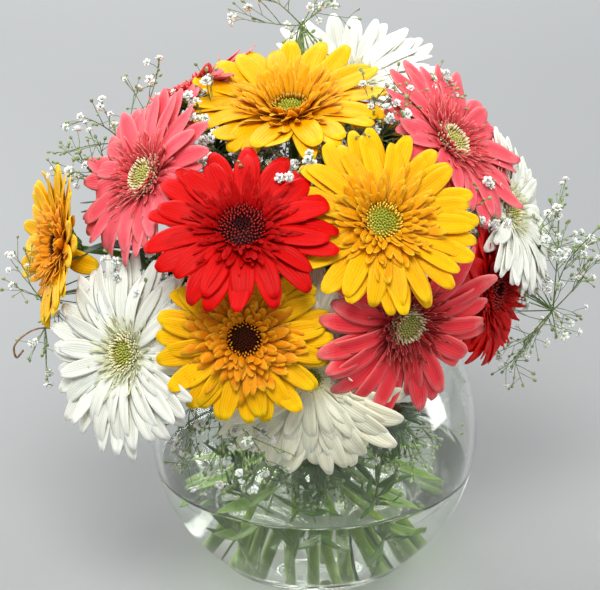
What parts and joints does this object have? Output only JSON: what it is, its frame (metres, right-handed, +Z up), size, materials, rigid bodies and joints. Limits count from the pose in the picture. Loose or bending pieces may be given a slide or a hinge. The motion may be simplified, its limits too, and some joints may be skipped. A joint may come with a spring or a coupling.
{
  "type": "gerbera bouquet in glass bowl vase",
  "caption": "Round clear glass bowl vase with water, holding a domed bouquet of red, yellow, orange, pink and white gerbera daisies with baby's breath and leaves.",
  "frame": {"origin": "centre of the bowl's flat base, on the surface it stands on", "axes": "+Z up; -Y towards the front of the bouquet; +X to the right seen from the front"},
  "size_m": [0.3473, 0.288, 0.3471],
  "materials": {
    "glass": "clear polished soda-lime glass",
    "water": "clear still water",
    "stem": "fresh green plant stem, faintly downy",
    "petals_red": "soft velvety petal",
    "petals_yellow": "soft ribbed petal",
    "petals_orange": "soft ribbed petal",
    "petals_pink": "soft ribbed petal, paler edges",
    "petals_rose": "soft velvety petal, paler tips",
    "petals_salmon": "soft ribbed petal",
    "petals_white": "soft ribbed petal",
    "disc_dark": "velvety disc of tiny florets",
    "disc_green": "disc of tiny florets, green centre",
    "disc_cream": "disc of tiny florets, cream and yellow-green",
    "babys_breath": "tiny white double flowers on wiry green stems",
    "leaf": "waxy dark green leaf"
  },
  "bodies": {
    "root": {"glass_bowl": "glass", "water": "water", "red_front_stem": "stem", "red_front_petals": "petals_red", "red_front_heart": "disc_dark", "yellow_right_stem": "stem", "yellow_right_petals": "petals_yellow", "yellow_right_heart": "disc_green", "yellow_top_stem": "stem", "yellow_top_petals": "petals_yellow", "yellow_top_heart": "disc_green", "pink_left_stem": "stem", "pink_left_petals": "petals_pink", "pink_left_heart": "disc_cream", "pink_right_stem": "stem", "pink_right_petals": "petals_pink", "pink_right_heart": "disc_cream", "rose_low_stem": "stem", "rose_low_petals": "petals_rose", "rose_low_heart": "disc_cream", "orange_low_stem": "stem", "orange_low_petals": "petals_orange", "orange_low_heart": "disc_dark", "white_left_stem": "stem", "white_left_petals": "petals_white", "white_left_heart": "disc_cream", "yellow_left_stem": "stem", "yellow_left_petals": "petals_yellow", "yellow_left_heart": "disc_green", "white_low_stem": "stem", "white_low_petals": "petals_white", "white_low_heart": "disc_cream", "red_right_stem": "stem", "red_right_petals": "petals_red", "red_right_heart": "disc_dark", "white_right_stem": "stem", "white_right_petals": "petals_white", "white_right_heart": "disc_cream", "white_top_stem": "stem", "white_top_petals": "petals_white", "white_top_heart": "disc_cream", "pink_back_left_stem": "stem", "pink_back_left_petals": "petals_pink", "pink_back_left_heart": "disc_cream", "red_back_stem": "stem", "red_back_petals": "petals_red", "red_back_heart": "disc_dark", "salmon_right_back_stem": "stem", "salmon_right_back_petals": "petals_salmon", "salmon_right_back_heart": "disc_cream", "yellow_back_stem": "stem", "yellow_back_petals": "petals_yellow", "yellow_back_heart": "disc_green", "spray_right": "babys_breath", "spray_top": "babys_breath", "spray_left": "babys_breath", "spray_back_left": "babys_breath", "spray_front_low": "babys_breath", "leaf_left": "leaf", "leaf_low": "leaf"}
  },
  "joints": []
}
